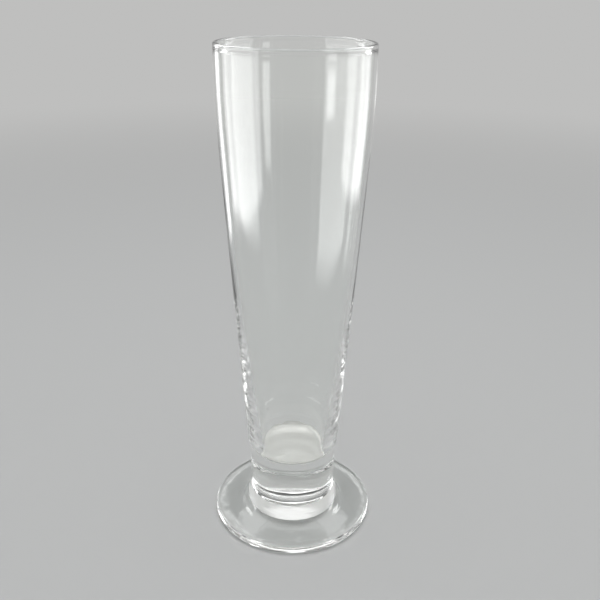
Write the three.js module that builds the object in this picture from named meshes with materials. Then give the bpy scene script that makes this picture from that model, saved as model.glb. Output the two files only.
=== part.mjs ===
// Footed pilsner glass: a tall tapered bowl on a short solid stem, a bulging collar and a flat round foot.
// The four pieces are clear soda-lime glass, fused one onto the next along flat joints.
// Millimetres, +Z up. The origin is on the table, under the middle of the foot.

import * as THREE from 'three';

// Flat faces around each round piece. A number divisible by four keeps the full diameters on X and Y.
const FACETS = 64;

// Foot: a pressed disc with a round edge. It stands on a flat ring around a domed recess.
const FOOT_RADIUS = 38.3;
const FOOT_EDGE_THICKNESS = 4.0;
const FOOT_HUB_HEIGHT = 6.2;
const FOOT_HUB_LEDGE = 0.55;
const RECESS_RADIUS = 24.0;
const RECESS_RISE = 4.0;
const RECESS_LIP_HEIGHT = 0.4;
const RECESS_LIP_WIDTH = 0.8;

// The foot's slope leaves its edge nearly level and steepens towards the hub. Each pair is a control point of
// the curve, as the share of the way inwards and the share of the way up.
const SLOPE_LEAVE = [0.45, 0.1];
const SLOPE_ARRIVE = [0.67, 0.4];

// Foot collar: the bulging ring of glass that was squeezed out where the stem was pressed onto the foot.
const COLLAR_HEIGHT = 7.3;
const COLLAR_BASE_RADIUS = 21.75;
const COLLAR_BELLY_RADIUS = 21.95;
const COLLAR_BELLY_START = 1.5;
const COLLAR_BELLY_LENGTH = 2.3;

// Stem: a short solid pillar, drawn in a little just above the collar.
const STEM_HEIGHT = 17.5;
const STEM_FOOT_RADIUS = 20.4;
const STEM_WAIST_RADIUS = 19.9;
const STEM_WAIST_HEIGHT = 2.5;
const STEM_TOP_RADIUS = 20.65;
const STEM_FULL_HEIGHT = 13.0;

// The stem's two curves, from the crease in to the waist and out again to its full radius, in the same form.
const CREASE_LEAVE = [0.3, 0.3];
const CREASE_ARRIVE = [1, 0.6];
const WAIST_LEAVE = [0, 0.35];
const WAIST_ARRIVE = [1, 0.55];

// Bowl, outside: a solid neck on the stem, a shoulder that overhangs it, and a flank that turns upright.
// The shoulder's underside rises outwards by its slope, in degrees.
const BOWL_HEIGHT = 191.0;
const BOWL_NECK_HEIGHT = 7.8;
const SHOULDER_OVERHANG = 1.0;
const SHOULDER_ROUNDING = 0.42;
const SHOULDER_SLOPE = 40;
const MOUTH_RADIUS = 32.35;
const FLANK_UPRIGHT_HEIGHT = 24.6;

// Bowl, rim: melted round by the fire polish, so it stands a little proud of the wall below.
const RIM_ROUNDING = 1.0;
const RIM_STANDOUT = 0.05;
const RIM_BLEND_HEIGHT = 3.4;
const RIM_ARC_START = -20;
const RIM_ARC_END = 200;

// Bowl, inside: the wall thickens from the rim down to a round well with a flat floor.
const WALL_AT_RIM = 1.8;
const WALL_AT_WELL = 5.9;
const WALL_TAPER_POWER = 3.5;
const WELL_SIDE_THICKNESS = 5.05;
const WELL_FLOOR_THICKNESS = 4.0;
const WELL_DEPTH = 6.5;
const WELL_FILLET = 1.5;

const GLASS_ROUGHNESS = 0.03;

// Heights of the three joints and of the rim, each stacked on the one below.
const footJoint = FOOT_HUB_HEIGHT;
const stemJoint = footJoint + COLLAR_HEIGHT;
const bowlJoint = stemJoint + STEM_HEIGHT;
const rimTop = bowlJoint + BOWL_HEIGHT;

function point(radius, height) {
  return new THREE.Vector2(radius, height);
}

// A round stretch of an outline. An angle of 0 degrees points outwards from its centre, and 90 points up.
function arc(centre, radius, startDegrees, endDegrees, steps) {
  const points = [];
  for (let step = 0; step <= steps; step++) {
    const degrees = THREE.MathUtils.lerp(startDegrees, endDegrees, step / steps);
    const angle = THREE.MathUtils.degToRad(degrees);
    points.push(point(centre.x + radius * Math.cos(angle), centre.y + radius * Math.sin(angle)));
  }
  return points;
}

function curve(start, startControl, endControl, end, steps) {
  return new THREE.CubicBezierCurve(start, startControl, endControl, end).getPoints(steps);
}

// The point that lies a share of the way from one point to another, across and upwards separately.
function partWay(start, end, [radiusShare, heightShare]) {
  const radius = THREE.MathUtils.lerp(start.x, end.x, radiusShare);
  const height = THREE.MathUtils.lerp(start.y, end.y, heightShare);
  return point(radius, height);
}

// The radius of a rising curve at a height, found by halving the stretch that holds it.
function radiusAt(risingCurve, height) {
  const halvings = 40;
  let low = 0;
  let high = 1;
  for (let halving = 0; halving < halvings; halving++) {
    const middle = (low + high) / 2;
    if (risingCurve.getPoint(middle).y < height) {
      low = middle;
    } else {
      high = middle;
    }
  }
  return risingCurve.getPoint(high).x;
}

// Turns an outline about the upright axis. Where two stretches meet, their shared point is kept once.
function turned(name, stretches, material) {
  const nearest = 1e-6;
  const outline = stretches.flat().filter(
    (place, index, places) => index === 0 || place.distanceTo(places[index - 1]) > nearest,
  );
  const geometry = new THREE.LatheGeometry(outline, FACETS);
  geometry.rotateX(Math.PI / 2);
  const mesh = new THREE.Mesh(geometry, material);
  mesh.name = name;
  return mesh;
}

// Clear glass with the faint grey-green of its iron. The thick pieces look a little darker than the wall.
function clearGlass(colour, opacity) {
  return new THREE.MeshStandardMaterial({
    color: colour,
    roughness: GLASS_ROUGHNESS,
    metalness: 0.0,
    transparent: true,
    opacity: opacity,
  });
}

function makeFoot() {
  const edgeRounding = FOOT_EDGE_THICKNESS / 2;
  const edgeCentre = point(FOOT_RADIUS - edgeRounding, edgeRounding);
  const domeRadius = (RECESS_RADIUS ** 2 + RECESS_RISE ** 2) / (2 * RECESS_RISE);
  const domeCentre = point(0, RECESS_LIP_HEIGHT + RECESS_RISE - domeRadius);
  const domeEdgeAngle = THREE.MathUtils.radToDeg(Math.acos(RECESS_RADIUS / domeRadius));
  const edgeTop = point(edgeCentre.x, FOOT_EDGE_THICKNESS);
  const hubEdge = point(COLLAR_BASE_RADIUS + FOOT_HUB_LEDGE, footJoint);
  const slopeLeave = partWay(edgeTop, hubEdge, SLOPE_LEAVE);
  const slopeArrive = partWay(edgeTop, hubEdge, SLOPE_ARRIVE);
  const domeSteps = 6;
  const edgeSteps = 8;
  const slopeSteps = 6;
  const stretches = [
    arc(domeCentre, domeRadius, 90, domeEdgeAngle, domeSteps),
    point(RECESS_RADIUS + RECESS_LIP_WIDTH, 0),
    arc(edgeCentre, edgeRounding, -90, 90, edgeSteps),
    curve(edgeTop, slopeLeave, slopeArrive, hubEdge, slopeSteps),
    point(0, footJoint),
  ];
  return turned('foot', stretches, clearGlass(0xd9e2de, 0.4));
}

function makeFootCollar() {
  const base = point(COLLAR_BASE_RADIUS, footJoint);
  const bellyStart = point(COLLAR_BELLY_RADIUS, footJoint + COLLAR_BELLY_START);
  const bellyEnd = point(COLLAR_BELLY_RADIUS, footJoint + COLLAR_BELLY_START + COLLAR_BELLY_LENGTH);
  const crease = point(STEM_FOOT_RADIUS, stemJoint);
  const bellySteps = 8;
  const stretches = [
    point(0, footJoint),
    curve(base, bellyStart, bellyEnd, crease, bellySteps),
    point(0, stemJoint),
  ];
  return turned('foot_collar', stretches, clearGlass(0xe6ece9, 0.5));
}

function makeStem() {
  const crease = point(STEM_FOOT_RADIUS, stemJoint);
  const waist = point(STEM_WAIST_RADIUS, stemJoint + STEM_WAIST_HEIGHT);
  const full = point(STEM_TOP_RADIUS, stemJoint + STEM_FULL_HEIGHT);
  const creaseLeave = partWay(crease, waist, CREASE_LEAVE);
  const creaseArrive = partWay(crease, waist, CREASE_ARRIVE);
  const waistLeave = partWay(waist, full, WAIST_LEAVE);
  const waistArrive = partWay(waist, full, WAIST_ARRIVE);
  const creaseSteps = 4;
  const waistSteps = 6;
  const stretches = [
    point(0, stemJoint),
    curve(crease, creaseLeave, creaseArrive, waist, creaseSteps),
    curve(waist, waistLeave, waistArrive, full, waistSteps),
    point(STEM_TOP_RADIUS, bowlJoint),
    point(0, bowlJoint),
  ];
  return turned('stem', stretches, clearGlass(0xcfd8d4, 0.5));
}

// The inner wall, from the rim down to the top of the well, at its thickness inside the flank.
function innerWall(flank, top, bottom, steps) {
  const points = [];
  for (let step = 0; step <= steps; step++) {
    const depth = step / steps;
    const height = THREE.MathUtils.lerp(top, bottom, depth);
    const thickness = WALL_AT_RIM + (WALL_AT_WELL - WALL_AT_RIM) * depth ** WALL_TAPER_POWER;
    points.push(point(radiusAt(flank, height) - thickness, height));
  }
  return points;
}

function makeBowl() {
  const shoulderHeight = bowlJoint + BOWL_NECK_HEIGHT;
  const shoulderRadius = STEM_TOP_RADIUS + SHOULDER_OVERHANG;
  const slope = THREE.MathUtils.degToRad(SHOULDER_SLOPE);
  const slopeWidth = SHOULDER_OVERHANG - SHOULDER_ROUNDING * (1 - Math.sin(slope));
  const slopeRise = slopeWidth * Math.tan(slope) + SHOULDER_ROUNDING * Math.cos(slope);
  const shoulderCentre = point(shoulderRadius - SHOULDER_ROUNDING, shoulderHeight + slopeRise);
  const rimCentre = point(MOUTH_RADIUS - RIM_ROUNDING, rimTop - RIM_ROUNDING);
  const flankStart = point(shoulderRadius, shoulderCentre.y);
  const flankEnd = point(MOUTH_RADIUS - RIM_STANDOUT, rimCentre.y - RIM_BLEND_HEIGHT);
  const upright = point(MOUTH_RADIUS, flankEnd.y - FLANK_UPRIGHT_HEIGHT);
  const flank = new THREE.CubicBezierCurve(flankStart, upright, upright, flankEnd);
  const wellFloor = bowlJoint + WELL_FLOOR_THICKNESS;
  const wellRadius = STEM_TOP_RADIUS - WELL_SIDE_THICKNESS;
  const filletCentre = point(wellRadius - WELL_FILLET, wellFloor + WELL_FILLET);
  const roundingSteps = 3;
  const wallSteps = 14;
  const rimSteps = 8;
  const filletSteps = 4;
  const stretches = [
    point(0, bowlJoint),
    point(STEM_TOP_RADIUS, bowlJoint),
    point(STEM_TOP_RADIUS, shoulderHeight),
    arc(shoulderCentre, SHOULDER_ROUNDING, SHOULDER_SLOPE - 90, 0, roundingSteps),
    flank.getPoints(wallSteps),
    arc(rimCentre, RIM_ROUNDING, RIM_ARC_START, RIM_ARC_END, rimSteps),
    innerWall(flank, flankEnd.y, wellFloor + WELL_DEPTH, wallSteps),
    arc(filletCentre, WELL_FILLET, 0, -90, filletSteps),
    point(0, wellFloor),
  ];
  return turned('bowl', stretches, clearGlass(0xeaf0ed, 0.3));
}

const glass = new THREE.Group();
glass.name = 'footed_pilsner_glass';
glass.add(makeFoot());
glass.add(makeFootCollar());
glass.add(makeStem());
glass.add(makeBowl());

export default glass;
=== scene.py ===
import math

import bmesh
import bpy
from mathutils import Matrix, Vector
from mathutils.geometry import interpolate_bezier


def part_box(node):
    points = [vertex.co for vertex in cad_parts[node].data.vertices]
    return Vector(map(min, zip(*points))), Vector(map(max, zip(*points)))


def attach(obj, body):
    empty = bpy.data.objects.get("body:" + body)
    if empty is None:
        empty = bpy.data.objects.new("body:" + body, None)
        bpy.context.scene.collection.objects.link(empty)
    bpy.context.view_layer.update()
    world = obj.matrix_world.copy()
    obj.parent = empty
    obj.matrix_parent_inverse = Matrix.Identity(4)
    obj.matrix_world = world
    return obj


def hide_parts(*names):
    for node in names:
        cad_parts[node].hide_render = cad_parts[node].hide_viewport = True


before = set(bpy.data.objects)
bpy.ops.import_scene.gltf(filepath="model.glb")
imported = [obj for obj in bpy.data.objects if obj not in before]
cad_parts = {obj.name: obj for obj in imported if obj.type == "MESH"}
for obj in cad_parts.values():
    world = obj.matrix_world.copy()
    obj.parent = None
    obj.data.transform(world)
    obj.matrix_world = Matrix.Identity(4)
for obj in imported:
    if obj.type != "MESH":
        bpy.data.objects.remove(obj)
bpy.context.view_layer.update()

# Camera. It stands where the photograph's own perspective puts it: 30 cm in front of the glass and 25 mm
# above its rim, looking down on it. It is turned and tipped by about half a degree.
EYE_DISTANCE = 0.302841
EYE_HEIGHT = 0.246848
EYE_PITCH = 0.418485
EYE_ROLL = 0.0109836
EYE_YAW = 0.0092464
FOCAL_LENGTH_PIXELS = 738.815
IMAGE_PIXELS = 600
SENSOR_MM = 36.0
NEAREST_SEEN = 0.01
FARTHEST_SEEN = 100.0

forward = Vector((
    math.sin(EYE_YAW) * math.cos(EYE_PITCH),
    math.cos(EYE_YAW) * math.cos(EYE_PITCH),
    -math.sin(EYE_PITCH),
))
level_right = Vector((math.cos(EYE_YAW), -math.sin(EYE_YAW), 0.0))
level_up = level_right.cross(forward)
right = math.cos(EYE_ROLL) * level_right + math.sin(EYE_ROLL) * level_up
up = math.cos(EYE_ROLL) * level_up - math.sin(EYE_ROLL) * level_right

camera = bpy.data.objects.new("camera", bpy.data.cameras.new("camera"))
camera.data.sensor_width = SENSOR_MM
camera.data.lens = FOCAL_LENGTH_PIXELS / IMAGE_PIXELS * SENSOR_MM
camera.data.clip_start = NEAREST_SEEN
camera.data.clip_end = FARTHEST_SEEN
camera.matrix_world = Matrix((right, up, -forward)).transposed().to_4x4()
camera.matrix_world.translation = Vector((0.0, -EYE_DISTANCE, EYE_HEIGHT))
bpy.context.scene.collection.objects.link(camera)
bpy.context.scene.camera = camera
bpy.context.scene.view_settings.view_transform = "Standard"

# Foot. A flat disc of soda-lime glass, pressed while hot, with a round edge and a gentle rise to its hub.
# It stands on a flat ring around a domed recess. The collar is fused onto the hub.
MM = 0.001
STEPS_AROUND = 192
EDGE_THICKNESS = 4.0 * MM
EDGE_STEPS = 24
HUB_LEDGE = 0.55 * MM
RISE_STEPS = 20
RECESS_RADIUS = 24.0 * MM
RECESS_RISE = 4.0 * MM
RECESS_LIP_HEIGHT = 0.4 * MM
RECESS_LIP_WIDTH = 0.8 * MM
RECESS_STEPS = 16
COLLAR_BASE_RADIUS = 21.75 * MM
# The rise leaves the edge and reaches the hub towards these shares of the way, inwards and upwards.
RISE_LEAVES = (0.45, 0.1)
RISE_ARRIVES = (0.67, 0.4)
SHARP_EDGE = math.radians(35.0)
TOUCHING = 0.0001 * MM
SODA_LIME_IOR = 1.52
SEED_RADIUS_MM = 0.35
SEED_DEPTH_MM = 0.12
# The place of the fused joints' material in each piece's list. The outer glass is always the first.
JOINT_FACE = 1

foot_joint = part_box("foot")[1].z
foot_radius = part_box("foot")[1].x


def arc(centre, radius, start_degrees, end_degrees, steps):
    """A round stretch of an outline as (radius, height) points. 0 degrees points outwards, 90 up."""
    points = []
    for step in range(steps + 1):
        angle = math.radians(start_degrees + (end_degrees - start_degrees) * step / steps)
        points.append((centre[0] + radius * math.cos(angle), centre[1] + radius * math.sin(angle)))
    return points


def curve(start, start_control, end_control, end, steps):
    """A smooth stretch of an outline that leaves and arrives towards its two control points."""
    corners = [Vector((radius, height, 0.0)) for radius, height in (start, start_control, end_control, end)]
    return [(place.x, place.y) for place in interpolate_bezier(*corners, steps + 1)]


def part_way(start, end, shares):
    """The point between two others that is one share of the way across and another share of the way up."""
    return (
        start[0] + (end[0] - start[0]) * shares[0],
        start[1] + (end[1] - start[1]) * shares[1],
    )


def spun(name, outline, patches, materials):
    """Turns an outline about the upright axis into one closed piece that rides on the glass.

    A face between the two heights of a patch, and inside its radius, gets the material of its number.
    """
    shape = bmesh.new()
    points = []
    for radius, height in outline:
        if not points or (points[-1].co - Vector((radius, 0.0, height))).length > TOUCHING:
            points.append(shape.verts.new((radius, 0.0, height)))
    edges = [shape.edges.new(pair) for pair in zip(points, points[1:])]
    bmesh.ops.spin(
        shape, geom=points + edges, cent=(0, 0, 0), axis=(0, 0, 1),
        angle=2 * math.pi, steps=STEPS_AROUND, use_merge=True,
    )
    bmesh.ops.remove_doubles(shape, verts=shape.verts, dist=TOUCHING)
    bmesh.ops.recalc_face_normals(shape, faces=shape.faces)
    for face in shape.faces:
        face.smooth = True
        middle = face.calc_center_median()
        across = math.hypot(middle.x, middle.y)
        for low, high, radius, number in patches:
            if low - TOUCHING < middle.z < high + TOUCHING and across < radius:
                face.material_index = number
    for edge in shape.edges:
        edge.smooth = edge.calc_face_angle(0.0) < SHARP_EDGE
    mesh = bpy.data.meshes.new(name)
    shape.to_mesh(mesh)
    shape.free()
    for material in materials:
        mesh.materials.append(material)
    piece = bpy.data.objects.new(name, mesh)
    bpy.context.scene.collection.objects.link(piece)
    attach(piece, "root")
    return piece


def colour(code):
    """An sRGB hex colour as the linear colour that a shader takes."""
    shares = [int(code[place:place + 2], 16) / 255 for place in (1, 3, 5)]
    linear = [share / 12.92 if share <= 0.04045 else ((share + 0.055) / 1.055) ** 2.4 for share in shares]
    return linear + [1.0]


def add_node(tree, kind, inputs=None, **settings):
    """Adds one node with its settings. An input takes a plain value, or another node's output to link."""
    made = tree.nodes.new(kind)
    for name, value in settings.items():
        setattr(made, name, value)
    for name, value in (inputs or {}).items():
        if isinstance(value, bpy.types.NodeSocket):
            tree.links.new(value, made.inputs[name])
        else:
            made.inputs[name].default_value = value
    return made


def clear_glass(name, tint, roughness, wave_mm, wave_height_mm, draw=1.0, haze=0.0, seed_gap_mm=0.0):
    """Soda-lime glass: clear, glossy and a very faint grey-green, with slow waves in its surface.

    The waves are longer upwards by the draw, because the glass was stretched that way while it was soft.
    Haze is the share of the light that a chilled or folded skin scatters, which makes it paler.
    Seeds are tiny bubbles that broke at the surface, far apart, and each leaves a pit like a pinprick.
    """
    material = bpy.data.materials.new(name)
    material.use_nodes = True
    tree = material.node_tree
    tree.nodes.clear()
    place = add_node(tree, "ShaderNodeTexCoord")
    drawn = add_node(tree, "ShaderNodeMapping", {
        "Vector": place.outputs["Object"], "Scale": (1.0, 1.0, 1.0 / draw),
    })
    waves = add_node(tree, "ShaderNodeTexNoise", {
        "Vector": drawn.outputs["Vector"], "Scale": 1.0 / (wave_mm * MM), "Detail": 1.0, "Roughness": 0.4,
    })
    bump = add_node(tree, "ShaderNodeBump", {
        "Height": waves.outputs["Fac"], "Strength": 1.0, "Distance": wave_height_mm * MM,
    })
    if seed_gap_mm:
        seeds = add_node(tree, "ShaderNodeTexVoronoi", {
            "Vector": place.outputs["Object"], "Scale": 1.0 / (seed_gap_mm * MM),
        })
        pits = add_node(tree, "ShaderNodeMapRange", {
            "Value": seeds.outputs["Distance"], "From Min": 0.0, "From Max": SEED_RADIUS_MM / seed_gap_mm,
        })
        bump = add_node(tree, "ShaderNodeBump", {
            "Height": pits.outputs["Result"], "Strength": 1.0, "Distance": SEED_DEPTH_MM * MM,
            "Normal": bump.outputs["Normal"],
        })
    surface = add_node(tree, "ShaderNodeBsdfPrincipled", {
        "Base Color": colour(tint), "Roughness": roughness, "IOR": SODA_LIME_IOR,
        "Transmission Weight": 1.0 - haze, "Normal": bump.outputs["Normal"],
    })
    add_node(tree, "ShaderNodeOutputMaterial", {"Surface": surface.outputs["BSDF"]})
    return material


# Where two pieces are fused there is no surface left inside the glass, so a joint's faces are fully clear.
fused_joint = bpy.data.materials.new("fused_joint")
fused_joint.use_nodes = True
fused_joint.node_tree.nodes.clear()
clear = add_node(fused_joint.node_tree, "ShaderNodeBsdfTransparent", {"Color": (1.0, 1.0, 1.0, 1.0)})
add_node(fused_joint.node_tree, "ShaderNodeOutputMaterial", {"Surface": clear.outputs["BSDF"]})

# Pressed glass. The iron die leaves it clear but not quite even, so what is seen through it wavers a little.
pressed_glass = clear_glass("pressed_soda_lime_glass", "#fcfdfc", 0.02, wave_mm=8.0, wave_height_mm=0.09)

edge_rounding = EDGE_THICKNESS / 2
edge_centre = (foot_radius - edge_rounding, edge_rounding)
dome_radius = (RECESS_RADIUS ** 2 + RECESS_RISE ** 2) / (2 * RECESS_RISE)
dome_centre = (0.0, RECESS_LIP_HEIGHT + RECESS_RISE - dome_radius)
dome_edge_angle = math.degrees(math.acos(RECESS_RADIUS / dome_radius))
edge_top = (edge_centre[0], EDGE_THICKNESS)
hub_edge = (COLLAR_BASE_RADIUS + HUB_LEDGE, foot_joint)
leaving_edge = part_way(edge_top, hub_edge, RISE_LEAVES)
reaching_hub = part_way(edge_top, hub_edge, RISE_ARRIVES)
foot = spun(
    "foot_pressed",
    arc(dome_centre, dome_radius, 90, dome_edge_angle, RECESS_STEPS)
    + [(RECESS_RADIUS + RECESS_LIP_WIDTH, 0.0)]
    + arc(edge_centre, edge_rounding, -90, 90, EDGE_STEPS)
    + curve(edge_top, leaving_edge, reaching_hub, hub_edge, RISE_STEPS)
    + [(COLLAR_BASE_RADIUS, foot_joint), (0.0, foot_joint)],
    patches=[(foot_joint, foot_joint, COLLAR_BASE_RADIUS, JOINT_FACE)],
    materials=[pressed_glass, fused_joint],
)
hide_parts("foot")

# Foot collar. A bulging ring of solid glass, squeezed out where the hot stem was pressed onto the foot.
# It is fused to the foot below and to the stem above.
COLLAR_BELLY_RADIUS = 21.95 * MM
COLLAR_BELLY_START = 1.5 * MM
COLLAR_BELLY_LENGTH = 2.3 * MM
COLLAR_STEPS = 24
STEM_FOOT_RADIUS = 20.4 * MM

stem_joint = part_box("foot_collar")[1].z
# Squeezed glass. Its skin folded into fine streaks round the ring as it bulged, and they scatter the light,
# so that the ring looks pale between the clear foot and the clear stem.
squeezed_glass = clear_glass(
    "squeezed_soda_lime_glass", "#f8f9f8", 0.25, wave_mm=5.0, wave_height_mm=0.16, draw=0.16, haze=0.5,
)
crease = (STEM_FOOT_RADIUS, stem_joint)
collar = spun(
    "foot_collar_solid",
    [(0.0, foot_joint)]
    + curve(
        (COLLAR_BASE_RADIUS, foot_joint),
        (COLLAR_BELLY_RADIUS, foot_joint + COLLAR_BELLY_START),
        (COLLAR_BELLY_RADIUS, foot_joint + COLLAR_BELLY_START + COLLAR_BELLY_LENGTH),
        crease, COLLAR_STEPS,
    )
    + [(0.0, stem_joint)],
    patches=[
        (foot_joint, foot_joint, COLLAR_BASE_RADIUS, JOINT_FACE),
        (stem_joint, stem_joint, STEM_FOOT_RADIUS, JOINT_FACE),
    ],
    materials=[squeezed_glass, fused_joint],
)
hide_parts("foot_collar")

# Stem. A short solid pillar of the same glass, drawn in a little above the collar while it was soft.
# It is fused to the collar below and to the bowl's thick base above.
WAIST_RADIUS = 19.9 * MM
WAIST_HEIGHT = 2.5 * MM
WAIST_STEPS = 12
FULL_HEIGHT = 13.0 * MM
FULL_STEPS = 20
# The two curves of the stem leave and arrive towards these shares of the way, across and upwards.
CREASE_LEAVES = (0.3, 0.3)
WAIST_ARRIVES = (1.0, 0.6)
WAIST_LEAVES = (0.0, 0.35)
FULL_ARRIVES = (1.0, 0.55)

bowl_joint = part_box("stem")[1].z
stem_top_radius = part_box("stem")[1].x
waist = (WAIST_RADIUS, stem_joint + WAIST_HEIGHT)
full = (stem_top_radius, stem_joint + FULL_HEIGHT)
leaving_crease = part_way(crease, waist, CREASE_LEAVES)
reaching_waist = part_way(crease, waist, WAIST_ARRIVES)
leaving_waist = part_way(waist, full, WAIST_LEAVES)
reaching_full = part_way(waist, full, FULL_ARRIVES)
# Flame-polished glass. The flame melted its skin smooth, so it is the clearest of all, like still water.
flame_polished_glass = clear_glass(
    "flame_polished_soda_lime_glass", "#fcfdfc", 0.0, wave_mm=14.0, wave_height_mm=0.02,
)
stem = spun(
    "stem_solid",
    [(0.0, stem_joint)]
    + curve(crease, leaving_crease, reaching_waist, waist, WAIST_STEPS)
    + curve(waist, leaving_waist, reaching_full, full, FULL_STEPS)
    + [(stem_top_radius, bowl_joint), (0.0, bowl_joint)],
    patches=[
        (stem_joint, stem_joint, STEM_FOOT_RADIUS, JOINT_FACE),
        (bowl_joint, bowl_joint, stem_top_radius, JOINT_FACE),
    ],
    materials=[flame_polished_glass, fused_joint],
)
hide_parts("stem")

# Bowl. A tall tapered vessel blown in a mould, with a solid neck, a well with a flat floor and a rim melted
# round by the flame. The cold mould left faint ripples round its lower flank. The neck is fused to the stem.
NECK_HEIGHT = 7.8 * MM
SHOULDER_OVERHANG = 1.0 * MM
SHOULDER_ROUNDING = 0.42 * MM
SHOULDER_SLOPE_DEGREES = 40
SHOULDER_STEPS = 8
FLANK_UPRIGHT_HEIGHT = 24.6 * MM
FLANK_STEPS = 300
RIPPLE_PITCH = 3.9 * MM
RIPPLE_HEIGHT = 0.06 * MM
RIPPLE_TOP = 84.0 * MM
RIPPLE_FADE = 30.0 * MM
RIM_ROUNDING = 1.0 * MM
RIM_STANDOUT = 0.05 * MM
RIM_BLEND_HEIGHT = 3.4 * MM
RIM_START_DEGREES = -20
RIM_END_DEGREES = 200
RIM_STEPS = 24
WALL_AT_RIM = 1.8 * MM
WALL_AT_WELL = 5.9 * MM
WALL_TAPER_POWER = 3.5
# The inner wall has no ripples, so every fifth point of the flank is enough for it.
FLANK_POINTS_PER_WALL_POINT = 5
WELL_SIDE_THICKNESS = 5.05 * MM
WELL_FLOOR_THICKNESS = 4.0 * MM
WELL_DEPTH = 6.5 * MM
WELL_FILLET = 1.5 * MM
WELL_FILLET_STEPS = 14
WELL_BLEND = 5.0 * MM
WELL_BLEND_STEPS = 12
WELL_DISH = 0.2 * MM
WELL_DISH_STEPS = 8
# The place of the well floor's glass in the bowl's list of materials.
CHILLED_FACE = 2

rim_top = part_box("bowl")[1].z
mouth_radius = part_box("bowl")[1].x
shoulder_height = bowl_joint + NECK_HEIGHT
shoulder_radius = stem_top_radius + SHOULDER_OVERHANG
slope = math.radians(SHOULDER_SLOPE_DEGREES)
slope_width = SHOULDER_OVERHANG - SHOULDER_ROUNDING * (1 - math.sin(slope))
shoulder_centre = (
    shoulder_radius - SHOULDER_ROUNDING,
    shoulder_height + slope_width * math.tan(slope) + SHOULDER_ROUNDING * math.cos(slope),
)
rim_centre = (mouth_radius - RIM_ROUNDING, rim_top - RIM_ROUNDING)
flank_end = (mouth_radius - RIM_STANDOUT, rim_centre[1] - RIM_BLEND_HEIGHT)
upright = (mouth_radius, flank_end[1] - FLANK_UPRIGHT_HEIGHT)
well_floor = bowl_joint + WELL_FLOOR_THICKNESS
well_top = well_floor + WELL_DEPTH
well_radius = stem_top_radius - WELL_SIDE_THICKNESS
fillet_centre = (well_radius - WELL_FILLET, well_floor + WELL_FILLET)
dish_bottom = well_floor - WELL_DISH
# The dish sinks towards these two points, so that it ends level in the middle.
dish_outer = (well_radius / 2, dish_bottom)
dish_inner = (well_radius / 5, dish_bottom)

plain_flank = curve((shoulder_radius, shoulder_centre[1]), upright, upright, flank_end, FLANK_STEPS)
rippled_flank = []
for radius, height in plain_flank:
    wave = 0.5 - 0.5 * math.cos(2 * math.pi * (height - shoulder_height) / RIPPLE_PITCH)
    fade = min(1.0, max(0.0, (RIPPLE_TOP - height) / RIPPLE_FADE))
    rippled_flank.append((radius - RIPPLE_HEIGHT * wave * fade, height))

# The inner wall stands further and further in from the flank on its way down. Its last stretch starts in
# line with the wall above and ends upright at the well's side, so that no edge shows between the two.
inner_wall = []
for radius, height in reversed(plain_flank[::FLANK_POINTS_PER_WALL_POINT]):
    if height > well_top + WELL_BLEND:
        depth = max(0.0, flank_end[1] - height) / (flank_end[1] - well_top)
        wall = WALL_AT_RIM + (WALL_AT_WELL - WALL_AT_RIM) * depth ** WALL_TAPER_POWER
        inner_wall.append((radius - wall, height))
well_side = (well_radius, fillet_centre[1])
wall_end = inner_wall.pop()
drop = (wall_end[1] - well_side[1]) / 2
lean = (inner_wall[-1][0] - wall_end[0]) / (inner_wall[-1][1] - wall_end[1])
leaving_wall = (wall_end[0] - drop * lean, wall_end[1] - drop)
reaching_side = (well_side[0], well_side[1] + drop / 2)
inner_wall += curve(wall_end, leaving_wall, reaching_side, well_side, WELL_BLEND_STEPS)

# Blown glass. It has a perfect gloss, slow waves that run up the wall, and here and there a seed's pinprick.
blown_glass = clear_glass(
    "blown_soda_lime_glass", "#fdfefd", 0.0, wave_mm=16.0, wave_height_mm=0.14, draw=3.0, seed_gap_mm=12.0,
)
# Chilled glass. The cold plunger touched the well's floor, which shows as an even, pale, frosted disc.
chilled_glass = clear_glass(
    "chilled_soda_lime_glass", "#e2e2de", 0.30, wave_mm=1.2, wave_height_mm=0.05, haze=0.5,
)
bowl = spun(
    "bowl_blown",
    [(0.0, bowl_joint), (stem_top_radius, bowl_joint), (stem_top_radius, shoulder_height)]
    + arc(shoulder_centre, SHOULDER_ROUNDING, SHOULDER_SLOPE_DEGREES - 90, 0, SHOULDER_STEPS)
    + rippled_flank
    + arc(rim_centre, RIM_ROUNDING, RIM_START_DEGREES, RIM_END_DEGREES, RIM_STEPS)
    + inner_wall
    + arc(fillet_centre, WELL_FILLET, 0, -90, WELL_FILLET_STEPS)
    + curve((fillet_centre[0], well_floor), dish_outer, dish_inner, (0.0, dish_bottom), WELL_DISH_STEPS),
    patches=[
        (bowl_joint, bowl_joint, stem_top_radius, JOINT_FACE),
        (dish_bottom, fillet_centre[1], well_radius + WALL_AT_RIM, CHILLED_FACE),
    ],
    materials=[blown_glass, fused_joint, chilled_glass],
)
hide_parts("bowl")

# Floor. A wide sheet of pale matt paper, a hair below the foot. Far from the glass it turns into the level
# of the pale studio wall, so that no edge shows where the two meet.
FLOOR_RADIUS = 30.0
FLOOR_SIDES = 128
FLOOR_HEIGHT = -0.00005
FLOOR_COLOUR = "#bfc0c0"
NEAR_FLOOR = 0.35
FAR_FLOOR = 1.3
WALL_TINT = (1.0, 1.0, 0.99, 1.0)
WALL_PALE = 0.52

shape = bmesh.new()
bmesh.ops.create_circle(shape, cap_ends=True, segments=FLOOR_SIDES, radius=FLOOR_RADIUS)
floor_mesh = bpy.data.meshes.new("floor")
shape.to_mesh(floor_mesh)
shape.free()
floor = bpy.data.objects.new("floor", floor_mesh)
floor.location.z = FLOOR_HEIGHT
bpy.context.scene.collection.objects.link(floor)

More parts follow.
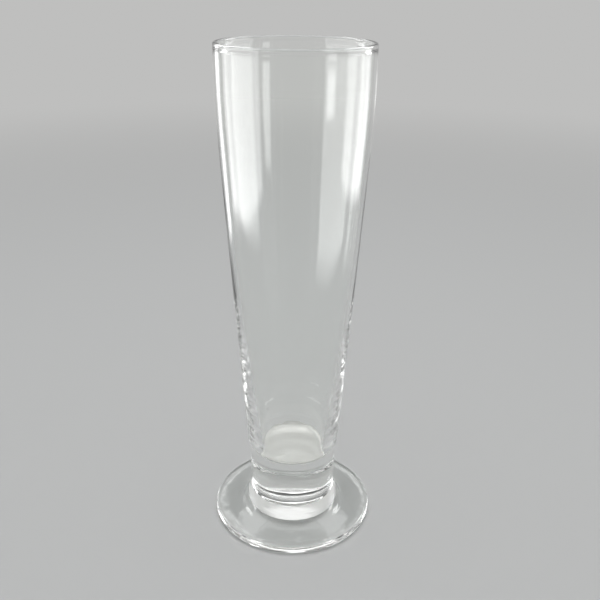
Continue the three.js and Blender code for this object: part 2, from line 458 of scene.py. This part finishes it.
# Pale matt paper. It has no gloss at all, so only the glass's own soft shadow shows on it.
paper = bpy.data.materials.new("pale_matt_paper")
paper.use_nodes = True
tree = paper.node_tree
tree.nodes.clear()
place = add_node(tree, "ShaderNodeTexCoord").outputs["Object"]
distance = add_node(tree, "ShaderNodeVectorMath", {0: place}, operation="LENGTH")
far = add_node(tree, "ShaderNodeMapRange", {
    "Value": distance.outputs["Value"], "From Min": NEAR_FLOOR, "From Max": FAR_FLOOR,
}, interpolation_type="SMOOTHSTEP")
matt = add_node(tree, "ShaderNodeBsdfDiffuse", {"Color": colour(FLOOR_COLOUR)})
glow = add_node(tree, "ShaderNodeEmission", {"Color": WALL_TINT, "Strength": WALL_PALE})
mix = add_node(tree, "ShaderNodeMixShader", {
    0: far.outputs["Result"], 1: matt.outputs[0], 2: glow.outputs[0],
})
add_node(tree, "ShaderNodeOutputMaterial", {"Surface": mix.outputs[0]})
floor_mesh.materials.append(paper)

# Lamp. One large round soft box overhead lights the glass and the floor evenly.
# A ray crosses many faces before it leaves thick glass, so every kind of bounce goes on for long, and no
# reflection is blurred on the way.
BOUNCES = 32
OVERHEAD_HEIGHT = 1.2
OVERHEAD_WIDTH = 2.4
OVERHEAD_RADIANCE = 1.54

cycles = bpy.context.scene.cycles
cycles.transparent_max_bounces = BOUNCES
cycles.max_bounces = BOUNCES
cycles.glossy_bounces = BOUNCES
cycles.transmission_bounces = BOUNCES
cycles.blur_glossy = 0.0

# A flat lamp's power is its radiance times its area times pi.
lamp = bpy.data.lights.new("overhead_box", "AREA")
lamp.shape = "DISK"
lamp.size = OVERHEAD_WIDTH
lamp.energy = OVERHEAD_RADIANCE * math.pi * (OVERHEAD_WIDTH / 2) ** 2 * math.pi
overhead = bpy.data.objects.new("overhead_box", lamp)
overhead.location.z = OVERHEAD_HEIGHT
overhead.visible_camera = False
bpy.context.scene.collection.objects.link(overhead)

# Cards. Glowing sheets of card stand around the glass and face it. They light nothing and are never seen
# themselves: they only draw the long soft reflections that show how round and glossy the glass is.
CARD_DISTANCE = 0.34
CARD_HEAD = 0.30
CARD_BLUR = 0.03
RIM_CARD_DISTANCE = 0.60
RIM_CARD_FOOT = 0.34
RIM_CARD_HEAD = 0.62
RIM_CARD_WIDTH = 0.24
RIM_CARD_RADIANCE = 7.0
HALF_CARD = 0.5


def card(name, azimuth_degrees, distance, foot, head, width, low_radiance, high_radiance, blur):
    """One card, at an azimuth that is 0 on the camera's side and grows to the right.

    Its radiance changes evenly from its foot to its head, and it fades out over the blur at its four edges.
    """
    shape = bmesh.new()
    bmesh.ops.create_grid(shape, x_segments=1, y_segments=1, size=HALF_CARD)
    mesh = bpy.data.meshes.new(name)
    shape.to_mesh(mesh)
    shape.free()
    board = bpy.data.objects.new(name, mesh)
    azimuth = math.radians(azimuth_degrees)
    middle = Vector((distance * math.sin(azimuth), -distance * math.cos(azimuth), (foot + head) / 2))
    inwards = Vector((-middle.x, -middle.y, 0.0))
    turn = inwards.to_track_quat("Z", "Y").to_matrix().to_4x4()
    board.matrix_world = Matrix.Translation(middle) @ turn @ Matrix.Diagonal((width, head - foot, 1.0, 1.0))
    board.visible_camera = False
    board.visible_shadow = False
    bpy.context.scene.collection.objects.link(board)

    glow = bpy.data.materials.new(name)
    glow.use_nodes = True
    glow.cycles.emission_sampling = "NONE"
    tree = glow.node_tree
    tree.nodes.clear()
    place = add_node(tree, "ShaderNodeTexCoord").outputs["Object"]
    split = add_node(tree, "ShaderNodeSeparateXYZ", {0: place})
    # It glows for a ray that glass or gloss has turned back, and that has met no matt surface yet.
    path = add_node(tree, "ShaderNodeLightPath")
    mirrored = add_node(tree, "ShaderNodeMath", {
        0: path.outputs["Glossy Depth"], 1: 1.0,
    }, operation="MINIMUM")
    scattered = add_node(tree, "ShaderNodeMath", {
        0: path.outputs["Diffuse Depth"], 1: 1.0,
    }, operation="MINIMUM")
    seen = add_node(tree, "ShaderNodeMath", {
        0: mirrored.outputs[0], 1: scattered.outputs[0],
    }, operation="SUBTRACT", use_clamp=True).outputs[0]
    strength = add_node(tree, "ShaderNodeMapRange", {
        "Value": split.outputs[1], "From Min": -HALF_CARD, "From Max": HALF_CARD,
        "To Min": low_radiance, "To Max": high_radiance,
    }).outputs["Result"]
    for axis, size in ((0, width), (1, head - foot)):
        for edge in (HALF_CARD, -HALF_CARD):
            fade = add_node(tree, "ShaderNodeMapRange", {
                "Value": split.outputs[axis],
                "From Min": edge, "From Max": edge - math.copysign(blur / size, edge),
            }, interpolation_type="SMOOTHSTEP").outputs["Result"]
            faded = add_node(tree, "ShaderNodeMath", {0: strength, 1: fade}, operation="MULTIPLY")
            strength = faded.outputs[0]
    strength = add_node(tree, "ShaderNodeMath", {0: strength, 1: seen}, operation="MULTIPLY").outputs[0]
    light = add_node(tree, "ShaderNodeEmission", {"Strength": strength})
    empty = add_node(tree, "ShaderNodeBsdfTransparent")
    both = add_node(tree, "ShaderNodeAddShader", {0: light.outputs[0], 1: empty.outputs[0]})
    add_node(tree, "ShaderNodeOutputMaterial", {"Surface": both.outputs[0]})
    mesh.materials.append(glow)


# The two broad stripes beside the middle of the bowl, and a narrow one inside the left stripe.
card(
    "left_card", azimuth_degrees=-82.0, distance=CARD_DISTANCE, foot=0.0, head=CARD_HEAD, width=0.46,
    low_radiance=3.2, high_radiance=1.2, blur=CARD_BLUR,
)
card(
    "left_back_card", azimuth_degrees=-135.0, distance=CARD_DISTANCE, foot=0.0, head=CARD_HEAD, width=0.10,
    low_radiance=1.6, high_radiance=1.2, blur=CARD_BLUR,
)
card(
    "right_card", azimuth_degrees=98.0, distance=CARD_DISTANCE, foot=0.03, head=CARD_HEAD, width=0.34,
    low_radiance=2.8, high_radiance=1.0, blur=CARD_BLUR,
)
# The short highlight on the right, below the rim.
card(
    "right_short_card", azimuth_degrees=49.0, distance=CARD_DISTANCE, foot=0.11, head=0.19, width=0.09,
    low_radiance=3.0, high_radiance=3.0, blur=0.02,
)
# The bright line along the foot's edge.
card(
    "high_back_card", azimuth_degrees=-176.0, distance=1.0, foot=0.76, head=1.04, width=0.40,
    low_radiance=3.0, high_radiance=3.0, blur=0.12,
)
# The sparks on the rim.
card(
    "left_rim_card", azimuth_degrees=-122.0, distance=RIM_CARD_DISTANCE,
    foot=RIM_CARD_FOOT, head=RIM_CARD_HEAD, width=RIM_CARD_WIDTH,
    low_radiance=RIM_CARD_RADIANCE, high_radiance=RIM_CARD_RADIANCE, blur=CARD_BLUR,
)
card(
    "right_rim_card", azimuth_degrees=128.0, distance=RIM_CARD_DISTANCE,
    foot=RIM_CARD_FOOT, head=RIM_CARD_HEAD, width=RIM_CARD_WIDTH,
    low_radiance=RIM_CARD_RADIANCE, high_radiance=RIM_CARD_RADIANCE, blur=CARD_BLUR,
)

# Studio wall. It is pale all round, and darker higher up, which gives the clear glass its dark edges.
# It darkens between two angles above level, given by their sines.
WALL_HIGH = 0.12
HIGH_START = 0.25
HIGH_END = 0.50

world = bpy.data.worlds.new("studio")
bpy.context.scene.world = world
world.use_nodes = True
tree = world.node_tree
tree.nodes.clear()
direction = add_node(tree, "ShaderNodeTexCoord").outputs["Generated"]
split = add_node(tree, "ShaderNodeSeparateXYZ", {0: direction})
level = add_node(tree, "ShaderNodeMapRange", {
    "Value": split.outputs[2], "From Min": HIGH_START, "From Max": HIGH_END,
    "To Min": WALL_PALE, "To Max": WALL_HIGH,
}, interpolation_type="SMOOTHSTEP")
wall = add_node(tree, "ShaderNodeBackground", {"Color": WALL_TINT, "Strength": level.outputs["Result"]})
add_node(tree, "ShaderNodeOutputWorld", {"Surface": wall.outputs[0]})
